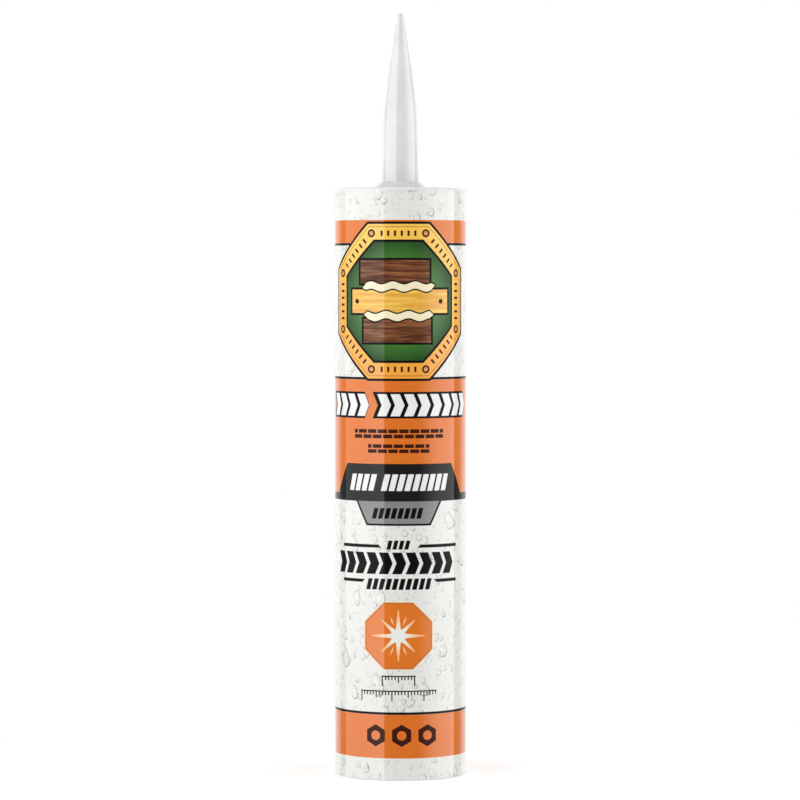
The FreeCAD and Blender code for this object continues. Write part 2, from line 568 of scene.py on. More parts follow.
def film_sheet():
    """The flat sheet: X along the way round, Y up the tube and Z out of the printed face."""
    bm = bmesh.new()
    bmesh.ops.create_grid(bm, x_segments=FILM_STEPS, y_segments=FILM_ROWS, size=0.5)
    bmesh.ops.scale(bm, vec=(sheet_length, film_height, 1), verts=bm.verts)
    bmesh.ops.solidify(bm, geom=bm.faces, thickness=FILM_GAUGE)
    bmesh.ops.recalc_face_normals(bm, faces=bm.faces)
    top = max(v.co.z for v in bm.verts)
    bmesh.ops.translate(bm, vec=(0, 0, -top), verts=bm.verts)
    return bm


sheet_bm = film_sheet()
print("sheet", round(sheet_length / MM, 1), "by", round(film_height / MM, 1), "mm")

# %% [markdown]
# The sheet's map
#
# The UV map is laid out while the sheet is still flat: the printed face takes nearly the whole
# map, and the back and the cut edges share a narrow strip below it. The print reads that map, so
# it stays true over the lap, where one angle round the tube has two layers of film.

# %% Sheet map
MAP_STRIP = 0.04
MAP_GUARD = 0.012


def map_sheet(bm):
    """Lays the UV map out on the flat sheet."""
    layer = bm.loops.layers.uv.new("OFBake")
    for face in bm.faces:
        printed = face.normal.z > 0.5
        for loop in face.loops:
            along = loop.vert.co.x / sheet_length + 0.5
            up = loop.vert.co.y / film_height + 0.5
            if printed:
                loop[layer].uv = (along, MAP_STRIP + up * (1 - MAP_STRIP))
            else:
                loop[layer].uv = (along, up * (MAP_STRIP - MAP_GUARD))


map_sheet(sheet_bm)
print("map laid on", len(sheet_bm.faces), "faces")

# %% [markdown]
# Rolling the sheet
#
# Each vertex keeps its height, and its place along the sheet becomes an angle round the tube. The
# middle of the sheet faces the front. The last stretch eases outwards by a film's thickness, so
# that it lies on the first stretch and leaves a thin step down the back.


# %% Rolled film
film_inner_r = film_r - 2 * FILM_GAUGE


def rolled(bm):
    """Carries the flat sheet round the tube, with its right end over its left."""
    for vert in bm.verts:
        along, up, out = vert.co
        over = (along - (way_round - sheet_length / 2 - EASE)) / EASE
        lift = FILM_GAUGE * min(max(over, 0.0), 1.0)
        reach = film_inner_r + FILM_GAUGE + out + lift
        angle = along / film_r
        height = (film_top + film_bottom) / 2 + up
        vert.co = (reach * math.sin(angle), -reach * math.cos(angle), height)
    return bm


sleeve_bm = rolled(sheet_bm)
print("film lies between", round(film_inner_r / MM, 2), "and", round(film_r / MM, 2), "mm")

# %% [markdown]
# Where the print is
#
# The print counts its millimetres along the sheet from the front, and up from the rear rim. Both
# come from the UV map. The art itself sits a little to the left of the middle, as it does when a
# sleeve has turned slightly on its tube.

# %% Print coordinates
ART_SHIFT = 0.75
film = Finish("printed_film", Roughness=0.07, IOR=1.2, Coat_IOR=1.6, Coat_Roughness=0.03)
film_place = film.place()[0]
film_map = film.node("ShaderNodeUVMap", {"uv_map": "OFBake"})
map_apart = film.node("ShaderNodeSeparateXYZ", None, {0: film_map})
map_across, map_up = film.outputs(map_apart, "X", "Y")
across = (map_across - 0.5) * (sheet_length / MM)
film_z = (map_up - MAP_STRIP) * (film_height / MM / (1 - MAP_STRIP)) + film_bottom / MM
art = across + ART_SHIFT
flat = film.join(across, film_z)
print("print runs", round(sheet_length / MM, 1), "mm along the sheet")

# %% [markdown]
# Shapes of the print
#
# Each shape of the print is a distance that is negative inside it. A crisp edge is that distance
# turned into a mask over a short stretch, so that the edge isn't jagged. The nearer of two
# distances, or the higher of two masks, joins two shapes, so a few small functions make them all.


# %% Shapes of the print
EDGE = 0.14


def crisp(distance, softness=EDGE):
    """1 inside a shape and 0 outside it, from a distance that is negative inside."""
    return distance.math("MULTIPLY_ADD", -1 / softness, 0.5, clamp=True)


def band(value, low, high):
    """1 between two values of a coordinate."""
    return crisp((value - (low + high) / 2).size() - (high - low) / 2)


def off_box(x, z, half_width, half_height):
    """Distance outside an upright rectangle."""
    return (x.size() - half_width).most(z.size() - half_height)


def off_sloped(x, z, foot, head, low, high):
    """Distance outside a panel whose half width changes from its foot to its head."""
    slope = (head - foot) / (high - low)
    half_width = (z - low) * slope + foot
    sides = (x.size() - half_width) / math.hypot(1, slope)
    return sides.most((z - (low + high) / 2).size() - (high - low) / 2)


def together(*masks):
    """Where any of the masks is."""
    whole = masks[0]
    for mask in masks[1:]:
        whole = whole.most(mask)
    return whole


def folded(x, z, sides):
    """Distance out from the middle and along the nearest side of a regular sign."""
    share = math.tau / sides
    turn = z.math("ARCTAN2", x) / share
    local = (turn - (turn + 0.5).math("FLOOR")) * share
    away = film.length(x, z)
    return away * local.math("COSINE"), away * local.math("SINE")


print("print shapes ready")

# %% [markdown]
# Inks
#
# The print has few inks: two near oranges, black, brown and white, greys for the sloped panel, and
# the warm and green tones of the badge. They are named once here, as a printer's list of inks is.

# %% Inks of the print
orange = srgb(225, 114, 3)
orange_deep = srgb(220, 109, 3)
film_white = srgb(232, 233, 229)
# The grey of the printed drops' dark side, also used for the painted shade along the film's front
# edge.
drop_ink_and_edge_shade = srgb(112, 114, 110)
drop_light = srgb(252, 253, 251)
ink_black = srgb(12, 10, 10)
ink_brown = srgb(60, 22, 8)
ink_white = srgb(238, 238, 236)
panel_grey = srgb(124, 127, 127)
panel_pale = srgb(134, 136, 136)
halo = srgb(252, 214, 172)
ray_cream = srgb(250, 236, 210)
ray_amber = srgb(250, 184, 120)
gold_top = srgb(250, 206, 84)
gold_foot = srgb(244, 158, 42)
gold_line = srgb(176, 98, 30)
field_green = srgb(92, 172, 58)
field_dark = srgb(30, 70, 26)
board_light = srgb(150, 92, 50)
board_dark = srgb(84, 44, 24)
glue_cream = srgb(246, 236, 200)
pine_light = srgb(250, 208, 88)
pine_dark = srgb(228, 164, 54)
nail_brass = srgb(216, 150, 82)
print("inks named")

# %% [markdown]
# The printed ground
#
# The film is white with clear drops all over it. Drops of one size are a Voronoi pattern: each
# cell holds one drop, and its own random colour says whether the drop is there and how large it
# is. A drop reads as a thin ring that is darker on one side, with a small bright spot inside. The
# coordinates are bent a little by noise, so that the drops don't look ruled.


# %% Drops
BEND = 1.3
FAINT = 0.07
SHADE_ASIDE = 0.8
SHADE_DOWN = 0.5
SHADE_DEPTH = 0.4
SHADE_MEAN = 0.70
BACK_LIGHT = 0.6
SPOT_SHIFT = 0.35
SPOT_SIZE = 0.42


def drops(spacing, smallest, largest, share, stretch, line, seed):
    """Drops of one size on the film: masks of what is darker and what is lighter."""
    drift = film.noise(film.join(across / spacing + seed, film_z / spacing), 0.5, detail=1.0)
    bend = (drift - 0.5) * BEND
    place = film.join(across / spacing + bend + seed, film_z / (spacing * stretch) - bend)
    cell = film.node(
        "ShaderNodeTexVoronoi",
        {"voronoi_dimensions": "2D"},
        {"Vector": place, "Scale": 1.0, "Randomness": 0.95},
    )
    colour, middle = film.outputs(cell, "Color", "Position")
    chance = film.node("ShaderNodeSeparateColor", None, {0: colour})
    there = crisp(film.outputs(chance, "Green")[0] - share, 0.02)
    away = film.node("ShaderNodeVectorMath", {"operation": "SUBTRACT"}, {0: place, 1: middle})
    away_apart = film.node("ShaderNodeSeparateXYZ", None, {0: away})
    aside, above = film.outputs(away_apart, "X", "Y")
    radius = chance * (largest - smallest) + smallest
    ring = (1.0 - (cell * spacing - radius).size() / line).held() * there
    turned = aside * SHADE_ASIDE - above * SHADE_DOWN
    side = (turned * spacing / radius * SHADE_DEPTH + SHADE_MEAN).held()
    inside = crisp(cell * spacing - radius, 0.5) * there
    spot_x = aside * spacing + radius * SPOT_SHIFT
    spot_z = above * spacing - radius * SPOT_SHIFT
    spot = (1.0 - film.length(spot_x, spot_z) / (radius * SPOT_SIZE)).held() * there
    return ring * side + inside * FAINT, (ring * (1.0 - side) * BACK_LIGHT).most(spot)


print("drops can be laid")

# %% [markdown]
# Drops and haze on the film
#
# Three sizes of drops lie over each other. A fine mist and a broad cloud make the white between
# them uneven, and painted shade darkens the film a little along its front edge, where it meets the
# shoulder.

# %% Drops and haze
large_shade, large_light = drops(
    spacing=8.6, smallest=1.0, largest=2.3, share=0.50, stretch=1.25, line=0.34, seed=3.7
)
middle_shade, middle_light = drops(
    spacing=4.1, smallest=0.5, largest=1.15, share=0.52, stretch=1.2, line=0.26, seed=11.3
)
small_shade, small_light = drops(
    spacing=1.9, smallest=0.22, largest=0.5, share=0.45, stretch=1.1, line=0.24, seed=23.9
)
MIST = 0.20
CLOUD = 0.16
# Painted shade along the film's front edge: how wide it is and how dark.
EDGE_SHADE_WIDTH = 1.1
EDGE_SHADE_DEPTH = 0.05
mist = film.noise(flat, 0.9, detail=3.0)
cloud = film.noise(flat, 0.07, detail=2.0)
ground_shade = large_shade * 0.75 + middle_shade * 0.62 + small_shade * 0.36
ground_shade = (ground_shade + (mist - 0.5) * MIST + (cloud - 0.5) * CLOUD).held()
ground_light = (large_light * 0.9 + middle_light * 0.7 + small_light * 0.4).held()
# Painted shade: the film is a little darker in a narrow band along its front edge, where it meets
# the shoulder.
front_edge_painted_shade = crisp(film_top / MM - EDGE_SHADE_WIDTH - film_z, 0.5) * EDGE_SHADE_DEPTH
ground = film.mix(ground_shade.most(front_edge_painted_shade), film_white, drop_ink_and_edge_shade)
ground = film.mix(ground_light, ground, drop_light)
print("three sizes of drops")

# %% [markdown]
# Colour fields
#
# From the front edge down come an orange band, a large panel of orange with a black strip at its
# foot, a sloped black panel and a sloped grey one, an eight-sided sign with a spark, and an orange
# band at the rear. The bands and the panel run all round the tube. Each is a mask laid over what
# lies under it.

# %% Bands and panels
HEAD_BAND = (197.6, 206.0)
MAIN_PANEL = (105.5, 147.5)
MAIN_STRIP = (102.8, 105.5)
FOOT_BAND = (8.3, 24.4)
LINE = 0.9
main_strip = band(film_z, *MAIN_STRIP)
bands = together(*[band(film_z, *place) for place in (HEAD_BAND, MAIN_PANEL, FOOT_BAND)])
line_feet = (HEAD_BAND[0] - LINE, MAIN_PANEL[1], FOOT_BAND[1])
thin_lines = together(*[band(film_z, foot, foot + LINE) for foot in line_feet])
panel_tone = film.mix(film.noise(flat, 0.06), orange, orange_deep)
paint = film.mix(bands, ground, panel_tone)
paint = film.mix(thin_lines.most(main_strip), paint, ink_black)

# The sloped panels: a height range each, and half their width at the foot and at the head.
BLACK_PANEL = (104.6, 116.6)
BLACK_HALVES = (28.8, 22.0)
GREY_PANEL = (93.9, 103.6)
GREY_HALVES = (12.3, 17.4)
GREY_FRAME = 0.75
black_panel = crisp(off_sloped(art, film_z, *BLACK_HALVES, *BLACK_PANEL))
black_fields = black_panel.most(main_strip)
paint = film.mix(black_panel, paint, ink_black)
off_grey = off_sloped(art, film_z, *GREY_HALVES, *GREY_PANEL)
grey_fall = ((film_z - GREY_PANEL[0]) / (GREY_PANEL[1] - GREY_PANEL[0])).held()
paint = film.mix(crisp(off_grey), paint, ink_black)
paint = film.mix(crisp(off_grey + GREY_FRAME), paint, film.mix(grey_fall, panel_pale, panel_grey))
print("bands and panels laid")

# %% [markdown]
# Workshop patterns in place of words
#
# The cartridge stays unnamed, so where a maker would print words there are rows of plain workshop
# patterns: chevrons as on a road sign, leaning bars as on hazard tape, courses of bricks and the
# marks of a ruler. Each is a block that repeats along the row, so one function lays a row of
# blocks, and what differs is the coordinate that it counts along. A row holds a whole number of
# blocks, so that none is cut at its ends.


# %% Rows of blocks
# Ruler marks: every how many of them, and how far down they reach.
MARKS = ((1, 0.42), (5, 0.68), (10, 1.0))
BAR_LEAN = 0.25
CHEVRON_LEAN = 0.42


def blocks(along, start, count, pitch, gap):
    """1 inside a whole number of equal blocks along a coordinate, with a gap after each."""
    place = (along - start) / pitch
    local = (place.math("FRACT") - 0.5).size() * pitch
    inside = band(along, start, start + count * pitch)
    return crisp(local - (pitch - gap) / 2) * inside


def leaning(low, high, start, count, pitch, gap):
    """A row of leaning bars between two heights."""
    along = art - (film_z - (low + high) / 2) * BAR_LEAN
    return blocks(along, start, count, pitch, gap) * band(film_z, low, high)


def chevrons(low, high, start, count, pitch, gap):
    """A row of arrow heads between two heights, with their points to the right."""
    along = art + (film_z - (low + high) / 2).size() * CHEVRON_LEAN
    return blocks(along, start, count, pitch, gap) * band(film_z, low, high)


def brickwork(low, high, start, count, pitch, gap):
    """Two courses of bricks, the upper one half a brick further on."""
    middle = (low + high) / 2
    end = start + count * pitch
    lower = blocks(art, start, count, pitch, gap) * band(film_z, low, middle - gap / 2)
    upper = blocks(art, start + pitch / 2, count - 1, pitch, gap)
    left_half = band(art, start + gap / 2, start + (pitch - gap) / 2)
    right_half = band(art, end - (pitch - gap) / 2, end - gap / 2)
    return lower.most(together(upper, left_half, right_half) * band(film_z, middle + gap / 2, high))


def ruler(low, high, start, count, pitch, width):
    """Ruler marks that hang from a line, every fifth one longer and every tenth the longest."""
    rows = []
    for step, reach in MARKS:
        place = (art - start) / (pitch * step)
        mark = crisp(((place + 0.5).math("FRACT") - 0.5).size() * (pitch * step) - width / 2, 0.1)
        rows.append(mark * band(film_z, high - (high - low) * reach, high))
    inside = band(art, start - width, start + count * pitch + width)
    line = band(film_z, high - width, high)
    return together(*rows, line) * inside


print("four kinds of rows ready")

# %% [markdown]
# Heading and notes
#
# The heading is two groups of white chevrons, each on a black chevron of its own that stands out a
# little all round, so that they read against the orange. Below it come two brown rows of bricks,
# where a maker would say what the paste is.

# %% Heading and notes
HEADING = (134.1, 142.2)
HEADING_GROUPS = ((-30.6, 4), (-7.0, 8))
HEADING_PITCH = 5.0
HEADING_GAP = 1.5
RIM = 0.8
RIM_CUT = 1.2
for start, count in HEADING_GROUPS:
    whole = count * HEADING_PITCH + 2 * RIM - RIM_CUT
    backing = chevrons(HEADING[0] - RIM, HEADING[1] + RIM, start - RIM, 1, whole, 0.0)
    group = chevrons(*HEADING, start, count, HEADING_PITCH, HEADING_GAP)
    paint = film.mix(backing, paint, ink_black)
    paint = film.mix(group, paint, ink_white)

BRICK = 4.0
MORTAR = 0.5
upper_note = brickwork(126.0, 129.3, start=-18.0, count=9, pitch=BRICK, gap=MORTAR)
lower_note = brickwork(120.6, 123.8, start=-12.0, count=6, pitch=BRICK, gap=MORTAR)
paint = film.mix(upper_note.most(lower_note), paint, ink_brown)
print("heading and notes laid")

# %% [markdown]
# Rows on the sloped panels
#
# The black panel carries two groups of white leaning bars, one short and one long, and the grey
# panel a smaller black row.

# %% Rows on the sloped panels
CLAIM = (106.7, 112.8)
CLAIM_GROUPS = ((-20.0, 4), (-6.2, 9))
claim_rows = [leaning(*CLAIM, start, count, pitch=2.9, gap=0.8) for start, count in CLAIM_GROUPS]
grade = leaning(96.5, 100.4, start=-10.0, count=8, pitch=2.4, gap=0.7)
paint = film.mix(together(*claim_rows), paint, ink_white)
paint = film.mix(grade, paint, ink_black)
print("rows on the sloped panels laid")

# %% [markdown]
# The middle rows
#
# On the bare film below are a short row, a strong row of chevrons and a row that follows it. Thin
# rules fill both sides of the short rows, and their inner ends are cut on a slope. Lower down,
# under the sign, two small rulers stand where the last words would be.

# %% Middle rows and rulers
RULE_SHIFT = 0.3
RULE_HALF = 24.6
RULE_WEIGHT = 1.2
strong = chevrons(76.1, 84.1, start=-26.4, count=10, pitch=5.0, gap=1.4)
follow = leaning(70.4, 74.5, start=-12.4, count=10, pitch=2.5, gap=0.75)
lead = leaning(85.2, 88.5, start=-4.4, count=4, pitch=2.2, gap=0.7)


def rules(middle, inner, slope):
    """Two thin rules beside a row, with sloped inner ends."""
    from_centre = (art - RULE_SHIFT).size()
    weight = band(film_z, middle - RULE_WEIGHT / 2, middle + RULE_WEIGHT / 2)
    inner_end = crisp(inner - from_centre + (film_z - middle) * slope)
    return weight * crisp(from_centre - RULE_HALF) * inner_end


upper_rules = rules(middle=86.4, inner=7.3, slope=1)
lower_rules = rules(middle=73.6, inner=13.9, slope=-1)
paint = film.mix(together(lead, strong, follow, upper_rules, lower_rules), paint, ink_black)
short_ruler = ruler(34.9, 38.8, start=-6.0, count=10, pitch=1.2, width=0.45)
long_ruler = ruler(29.4, 33.3, start=-14.4, count=24, pitch=1.2, width=0.45)
paint = film.mix(short_ruler.most(long_ruler), paint, ink_black)
print("middle rows and rulers laid")

# %% [markdown]
# Nuts on the rear band
#
# The rear band carries three hexagonal nuts in brown. A nut is a six-sided shape less a round hole.

# %% Nuts on the rear band
NUT_HEIGHT = 16.7
NUT_PLACES = (-8.6, 1.2, 11.0)
NUT_HALF = 3.55
NUT_HOLE = 1.75


def nut(place):
    """A hexagonal nut whose middle is at a place along the band."""
    off_x = art - place
    off_z = film_z - NUT_HEIGHT
    outline = folded(off_x, off_z, 6)[0] - NUT_HALF
    return crisp(outline) * crisp(NUT_HOLE - film.length(off_x, off_z))


paint = film.mix(together(*[nut(place) for place in NUT_PLACES]), paint, ink_brown)
print(len(NUT_PLACES), "nuts laid")

# %% [markdown]
# The spark sign
#
# A spark on an eight-sided sign is a common mark for a strong hold. The sign is an orange face
# with a thin gold line and a pale halo round it.

# %% Sign
SIGN_HEIGHT = 53.45
SIGN_HALF = 12.9
SIGN_SQUASH = 1.055
SIGN_SHIFT = -0.05
SIGN_HALO = 0.4
SIGN_BORDER = 0.5
sign_x = art - SIGN_SHIFT
sign_z = (film_z - SIGN_HEIGHT) * SIGN_SQUASH
sign_out, sign_along = folded(sign_x, sign_z, 8)
paint = film.mix(crisp(sign_out - SIGN_HALF - SIGN_HALO), paint, halo)
paint = film.mix(crisp(sign_out - SIGN_HALF), paint, gold_line)
paint = film.mix(crisp(sign_out - SIGN_HALF + SIGN_BORDER), paint, orange)
print("sign", 2 * SIGN_HALF, "mm across")

# %% [markdown]
# The spark
#
# A ray is a narrow diamond: the distance along it and the distance across it, weighed against each
# other, add up to its edge. Folding the plane about its middle makes all the rays of one kind out
# of one. The spark is white at its heart and amber at its tips.

# %% Spark
SOFT_EDGE = 0.6
HEART_RADIUS = 2.8
from_middle = film.length(sign_x, sign_z)


def ray(out, along, length, half_width):
    """A diamond of the given length and half width that points out from the middle."""
    return crisp(out.size() / length * half_width + along.size() - half_width, 0.12)


def within(radius, softness=SOFT_EDGE):
    """1 nearer to the sign's middle than a radius."""
    return crisp(from_middle - radius, softness)


upright_rays = ray(sign_x, sign_z, length=12.5, half_width=1.1)
level_rays = ray(sign_z, sign_x, length=12.5, half_width=1.1)
folded_rays = ray(sign_out, sign_along, length=10.8, half_width=1.05)
spark = upright_rays.most(level_rays) * within(9.9)
spark = together(spark, folded_rays * within(8.7), within(HEART_RADIUS))

# Four small ticks, one in each quarter between the rays.
TICK_ASIDE = 2.4
TICK_UP = 5.9
TICK_LEAN = math.radians(22)
tick_x = sign_x.size() - TICK_ASIDE
tick_z = sign_z.size() - TICK_UP
tick_out = tick_x * math.sin(TICK_LEAN) + tick_z * math.cos(TICK_LEAN)
tick_side = tick_x * math.cos(TICK_LEAN) - tick_z * math.sin(TICK_LEAN)
spark = spark.most(ray(tick_out, tick_side, length=2.0, half_width=0.3))

amber_share = ((from_middle - 3.4) / 5.0).held()
ray_tone = film.mix(amber_share, ray_cream, ray_amber)
ray_tone = film.mix(within(3.2, softness=1.5), ray_tone, ink_white)
paint = film.mix(spark, paint, ray_tone)
print("spark laid")

# %% [markdown]
# The badge plate
#
# A large eight-sided plate carries the warm colours at the top: a gold border with a fine groove
# line, and a green field that darkens outwards. Each layer is the same eight-sided distance, taken
# a little further in, and flat fields with dark outlines are how such a mark is screened on film.

# %% Badge plate
BADGE_HEIGHT = 176.2
BADGE_HALF = 29.2
BORDER_LINE = 0.9
GROOVE = 1.9
GROOVE_HALF = 0.13
FIELD_LINE = 6.6
FIELD = 7.5
badge_z = film_z - BADGE_HEIGHT
badge_out, badge_along = folded(art, badge_z, 8)
off_badge = badge_out - BADGE_HALF
gold_rise = (badge_z / (2 * BADGE_HALF) + 0.5).held()
gold_weave = film.noise(flat, 0.9)
gold = film.mix((gold_rise * 0.8 + gold_weave * 0.2).held(), gold_foot, gold_top)
badge = film.mix(crisp(off_badge), paint, ink_black)
badge = film.mix(crisp(off_badge + BORDER_LINE), badge, gold)
badge = film.mix(crisp((off_badge + GROOVE).size() - GROOVE_HALF), badge, gold_line)
badge = film.mix(crisp(off_badge + FIELD_LINE), badge, ink_black)
field_fall = (film.length(art, badge_z) / 23.0).held()
field = film.mix(field_fall, field_green, field_dark)
badge = film.mix(crisp(off_badge + FIELD), badge, field)
print("gold border round a green field")

# %% [markdown]
# Nails and studs
#
# The middle of the gold border carries a round nail head at each of the eight corners, and a row
# of short upright studs along each side. Both use the folded coordinates, so that one corner and
# one side give all eight.

# %% Nails and studs
STUD_ROW = BADGE_HALF - 4.3
STUD_PITCH = 2.5
STUD_REACH = 7.5
NAIL_RADIUS = 1.5
NAIL_FACE = 0.8
corner_along = STUD_ROW * math.tan(math.pi / 8)
nail = film.length(badge_out - STUD_ROW, badge_along.size() - corner_along)
badge = film.mix(crisp(nail - NAIL_RADIUS), badge, ink_brown)
badge = film.mix(crisp(nail - NAIL_FACE, 0.3), badge, nail_brass)
stud_place = ((badge_along / STUD_PITCH).math("FRACT") - 0.5) * STUD_PITCH
stud = crisp(off_box(stud_place, badge_out - STUD_ROW, half_width=0.42, half_height=1.0))
badge = film.mix(stud * band(badge_along, -STUD_REACH, STUD_REACH), badge, ink_brown)
print("eight nails, and studs", STUD_PITCH, "mm apart")

# %% [markdown]
# Boards and glue
#
# What the paste does is drawn on the green field: three boards, the middle one longer and paler,
# with a bead of glue squeezing out of each joint. Wood grain is a noise that is stretched along
# the board, and a bead is a thick line whose middle waves.

# %% Boards and glue
BOARD_HEIGHT = 8.6
BOARD_LINE = 0.8
BEAD_HALF = 1.3
BEAD_LINE = 0.55
BOARD_NAIL_PLACE = 16.6
BOARD_NAIL_RADIUS = 0.9
GRAIN_ALONG = 0.05
GRAIN_ACROSS = 0.7
GRAIN_APART = 7.0
WAVE_RATE = 0.75
WAVE_HEIGHT = 0.55
END_TAPER = 0.8
# A board's height from the badge's middle, its shift, half its length, and its two tones.
boards = (
    (10.8, -1.6, 13.4, board_dark, board_light),
    (0.0, 0.4, 19.4, pine_dark, pine_light),
    (-10.8, -0.6, 13.0, board_dark, board_light),
)
# A bead's height from the badge's middle, half its length, and where its wave begins.
beads = ((5.4, 12.4, 0.0), (-5.4, 11.8, 1.9))
for row, (offset, shift, half, vein, wood) in enumerate(boards):
    board_x = art - shift
    board_z = badge_z - offset
    off_board = off_box(board_x, board_z, half, BOARD_HEIGHT / 2)
    stretched = film.join(board_x * GRAIN_ALONG + row * GRAIN_APART, board_z * GRAIN_ACROSS)
    grain = film.noise(stretched, 1.0, detail=3.0, roughness=0.6)
    grain = ((grain - 0.42) * 4.5).held()
    badge = film.mix(crisp(off_board - BOARD_LINE), badge, ink_black)
    badge = film.mix(crisp(off_board), badge, film.mix(grain, vein, wood))
for offset, half, phase in beads:
    wave = (art * WAVE_RATE + phase).math("SINE") * WAVE_HEIGHT
    past_end = (art.size() - half).most(0.0)
    off_bead = (badge_z - offset + wave).size() - BEAD_HALF + past_end * END_TAPER
    badge = film.mix(crisp(off_bead - BEAD_LINE), badge, ink_black)
    badge = film.mix(crisp(off_bead), badge, glue_cream)
board_nail = film.length(art.size() - BOARD_NAIL_PLACE, badge_z)
badge = film.mix(crisp(board_nail - BOARD_NAIL_RADIUS), badge, ink_brown)
print("three boards and two beads of glue")

# %% [markdown]
# The film's surface
#
# Over the print the film is glossy, and the softboxes show in it as long pale stripes. The varnish
# lies on the pale inks and hardly takes on the dark ones, so its weight follows the brightness of
# the print, and the large black fields get some of their own. The orange ink has a faint pearl,
# which tints its sheen, so it is a very little metallic where red is stronger than blue. Real film
# isn't quite flat either: it carries a slight swell from the tube below, and a little unevenness
# in the roughness keeps it from looking like glass. The outer end of the sheet has a narrow margin
# without print, which shows at the back as a pale line.

# %% Film finish
BARE_MARGIN = 0.8
PEARL = 0.04
VARNISH = 0.92
VARNISH_ON_BLACK = 0.32
margin = crisp(sheet_length / MM / 2 - BARE_MARGIN - across, 0.1)
print_colour = film.mix(margin, badge, film_white)
film.feed("Base Color", print_colour)
swell = film.noise(film_place, 0.035, detail=1.0)
pebble = film.noise(film_place, 1.1, detail=2.0)
film.bump(swell * 0.5 + pebble * 0.015, distance=0.22 * MM, strength=0.6)
film.feed("Roughness", film.noise(film_place, 0.25) * 0.04 + 0.06)
brightness = film.node("ShaderNodeRGBToBW", None, {0: print_colour})
inks = film.node("ShaderNodeSeparateColor", None, {0: print_colour})
red, blue = film.outputs(inks, "Red", "Blue")
film.feed("Metallic", (red - blue).held() * PEARL)
varnish = (brightness * 5.0).held() * VARNISH
film.feed("Coat Weight", varnish.most(black_fields * VARNISH_ON_BLACK))
sleeve = finished("film_sleeve", sleeve_bm, "barrel", film)
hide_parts("label")
sharpened(sleeve)
print("film finish", len(film.tree.nodes), "nodes")

# %% [markdown]
# Moulded plastic
#
# The barrel, piston and nozzle are polyethylene. It is never quite white and never quite glossy:
# the colour drifts a little with the wall behind it, the mould leaves a fine orange-peel texture,
# and handling dulls the sheen in patches. One function makes that finish, with the numbers that
# differ from piece to piece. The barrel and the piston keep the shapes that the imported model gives
# them, and only take on the finish.


# %% Plastic finishes
def moulded(name, pale, deep, roughness, peel, drift_scale, **constants):
    """Polyethylene: two near colours, an uneven sheen and a fine moulded texture."""
    finish = Finish(name, IOR=1.51, **constants)
    place = finish.place()[0]
    drift = finish.noise(place, drift_scale, detail=2.0)
    tone = ((drift - 0.35) * 3.0).held()
    finish.feed("Base Color", finish.mix(tone, deep, pale))
    finish.feed("Roughness", finish.noise(place, 0.3) * 0.06 + roughness)
    peeled = finish.noise(place, 2.2, detail=3.0) * peel
    finish.bump(peeled, distance=0.1 * MM, strength=0.5)
    return finish


barrel_plastic = moulded(
    "barrel_plastic",
    pale=srgb(240, 240, 238),
    deep=srgb(234, 234, 232),
    roughness=0.13,
    peel=0.20,
    drift_scale=0.05,
)
piston_plastic = moulded(
    "piston_plastic",
    pale=srgb(222, 223, 220),
    deep=srgb(208, 209, 206),
    roughness=0.36,
    peel=0.25,
    drift_scale=0.12,
)
for node, finish in (("barrel", barrel_plastic), ("piston", piston_plastic)):
    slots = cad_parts[node].data.materials
    slots.clear()
    slots.append(finish.material)
    print(node, "wears", finish.material.name)

# %% [markdown]
# The nozzle
#
# The nozzle is one moulding: a flared collar, a straight shank with a slight taper, and a long
# cone that bellies out a little and ends in a closed round tip. Inside are the socket that screws
# on the neck and a channel that follows the cone. Its places come from the frame, and what the
# frame doesn't say, such as the height of the collar's edge, is a size in millimetres here.

# %% Nozzle sizes
COLLAR_EDGE = 0.75 * MM
COLLAR_SLOPE_IN = 2.6 * MM
COLLAR_SLOPE_UP = 2.3 * MM
COLLAR_WIDTH = 2.95 * MM
SHANK_LENGTH = 28.2 * MM
SHANK_TAPER = 0.6 * MM
TIP_R = 1.25 * MM
TIP_ROUND = 1.1 * MM
TIP_STUB = 1.0 * MM
CONE_BELLY = 0.33 * MM
SOCKET_WALL = 0.85 * MM
SOCKET_HEADROOM = 0.3 * MM
CHANNEL_SEAT = 1.15 * MM
CHANNEL_TAPER = 0.25 * MM
CHANNEL_TIP_R = 0.6 * MM
CHANNEL_TIP_WALL = 1.4 * MM
RECESS_DEPTH = 1.2 * MM
RECESS_WALL = 1.1 * MM
FINE_ROUND = 0.1 * MM
FOOT_ROUND = 0.15 * MM
RECESS_ROUND = 0.2 * MM
SLOPE_ROUND = 0.25 * MM
RIM_ROUND = 0.3 * MM
seat_z = nozzle_low[2]
nozzle_top = nozzle_high[2]
collar_r = nozzle_high[0]
base_r = collar_r - COLLAR_WIDTH
socket_r = base_r - SOCKET_WALL
socket_top = seal_high[2] + SOCKET_HEADROOM
shank_top = seat_z + SHANK_LENGTH
cone_top = nozzle_top - TIP_ROUND - TIP_STUB
slope_top = seat_z + COLLAR_EDGE + COLLAR_SLOPE_UP
print("nozzle", round((nozzle_top - seat_z) / MM, 1), "mm tall")
print("collar radius", round(collar_r / MM, 2), "mm")

# %% [markdown]
# The nozzle's outline
#
# The outline runs from the channel's end down the inside, under the collar and up the outside to
# the tip, so one spin makes both walls. The corners are rounded, because a mould has no sharp ones
# and a rounded edge is what catches a line of light.

# %% Nozzle outline
CONE_POINTS = 32
CHANNEL_POINTS = 24
TIP_POINTS = 8


def bellied(start, end, belly, steps):
    """Points of a shallow arc between two points, with its middle standing out by the belly."""
    points = []
    for step in range(steps + 1):
        share = step / steps
        out = 4 * belly * share * (1 - share)
        radius = start[0] + (end[0] - start[0]) * share + out
        points.append((radius, start[1] + (end[1] - start[1]) * share))
    return points


def quarter_round(radius, base, steps):
    """Points of a round end that rises from its full radius to the axis."""
    turns = [math.pi / 2 * step / steps for step in range(1, steps + 1)]
    return [(radius * math.cos(turn), base + radius * math.sin(turn)) for turn in turns]


